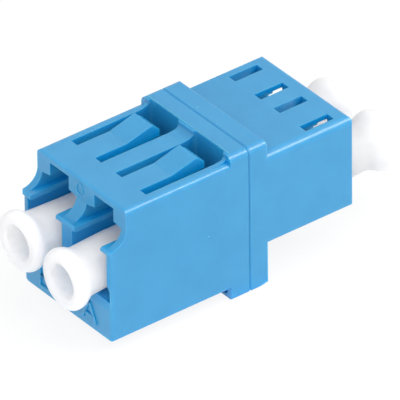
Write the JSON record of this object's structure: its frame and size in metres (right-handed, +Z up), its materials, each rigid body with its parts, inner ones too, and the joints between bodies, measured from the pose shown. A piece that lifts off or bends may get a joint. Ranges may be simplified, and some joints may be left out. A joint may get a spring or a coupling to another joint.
{
  "type": "lc fibre adapter",
  "caption": "Duplex LC fibre adapter: snap-in moulded housing with a panel flange, latch slots, ceramic alignment sleeves and pull-off dust caps.",
  "frame": {"origin": "middle of the panel cut-out: in the plane of the flange's front face, midway between the two port axes", "axes": "+X along the ports from the front (snap-in) end to the rear end, +Y from port A to port B, +Z up, towards the latch slots"},
  "size_m": [0.0349, 0.0126, 0.015],
  "materials": {
    "housing_blue": "satin moulded thermoplastic, slightly translucent",
    "sleeve_ceramic": "ground zirconia",
    "cap_white": "soft satin polyethylene, slightly translucent"
  },
  "bodies": {
    "adapter": {"front_housing": "housing_blue", "rear_housing": "housing_blue", "alignment_sleeve_a": "sleeve_ceramic", "alignment_sleeve_b": "sleeve_ceramic"},
    "cap_front_a": {"dust_cap_front_a": "cap_white"},
    "cap_front_b": {"dust_cap_front_b": "cap_white"},
    "cap_rear_a": {"dust_cap_rear_a": "cap_white"},
    "cap_rear_b": {"dust_cap_rear_b": "cap_white"}
  },
  "joints": [
    {"name": "cap_front_a_slide", "type": "slide", "parent": "adapter", "child": "cap_front_a", "axis": [-1, 0, 0], "range_m": [0, 0.012]},
    {"name": "cap_front_b_slide", "type": "slide", "parent": "adapter", "child": "cap_front_b", "axis": [-1, 0, 0], "range_m": [0, 0.012]},
    {"name": "cap_rear_a_slide", "type": "slide", "parent": "adapter", "child": "cap_rear_a", "axis": [1, 0, 0], "range_m": [0, 0.012]},
    {"name": "cap_rear_b_slide", "type": "slide", "parent": "adapter", "child": "cap_rear_b", "axis": [1, 0, 0], "range_m": [0, 0.012]}
  ]
}
